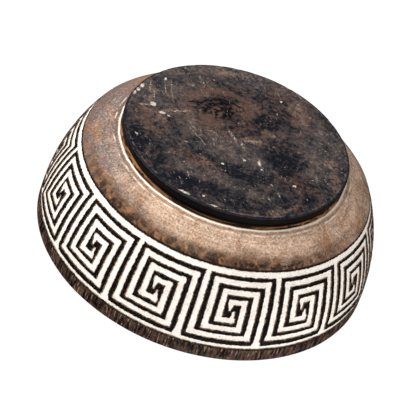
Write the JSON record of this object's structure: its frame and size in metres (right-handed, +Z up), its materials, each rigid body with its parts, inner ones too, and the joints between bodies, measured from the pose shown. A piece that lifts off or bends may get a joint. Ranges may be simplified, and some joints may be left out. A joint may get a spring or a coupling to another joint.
{
  "type": "carved wooden bowl",
  "caption": "Round turned and carved wooden bowl on a broad flat foot, with a band of whitened square-spiral key carving around its side.",
  "frame": {"origin": "centre of the foot's underside, on the surface that the bowl stands on", "axes": "+Z up out of the mouth, the axis the bowl was turned about; -Y is the front, where the key panels are widest; +X right"},
  "size_m": [0.2492, 0.2498, 0.0975],
  "materials": {
    "brown_wood": "burnished, worn brown wood, blackened round the carving and at the lip",
    "blackened_wood": "charcoal-black stained wood with scratches and a few pale chips",
    "lime_fill": "matte chalky white lime in the carved lines"
  },
  "bodies": {
    "root": {"bowl_body": "brown_wood", "foot_disc": "blackened_wood", "foot_ring_fill": "lime_fill", "lip_ring_fill": "lime_fill", "lip_key_fill_01": "lime_fill", "foot_key_fill_01": "lime_fill", "lip_key_fill_02": "lime_fill", "foot_key_fill_02": "lime_fill", "lip_key_fill_03": "lime_fill", "foot_key_fill_03": "lime_fill", "lip_key_fill_04": "lime_fill", "foot_key_fill_04": "lime_fill", "lip_key_fill_05": "lime_fill", "foot_key_fill_05": "lime_fill", "lip_key_fill_06": "lime_fill", "foot_key_fill_06": "lime_fill", "lip_key_fill_07": "lime_fill", "foot_key_fill_07": "lime_fill", "lip_key_fill_08": "lime_fill", "foot_key_fill_08": "lime_fill", "lip_key_fill_09": "lime_fill", "foot_key_fill_09": "lime_fill", "lip_key_fill_10": "lime_fill", "foot_key_fill_10": "lime_fill", "lip_key_fill_11": "lime_fill", "foot_key_fill_11": "lime_fill", "lip_key_fill_12": "lime_fill", "foot_key_fill_12": "lime_fill", "lip_key_fill_13": "lime_fill", "foot_key_fill_13": "lime_fill", "lip_key_fill_14": "lime_fill", "foot_key_fill_14": "lime_fill"}
  },
  "joints": []
}
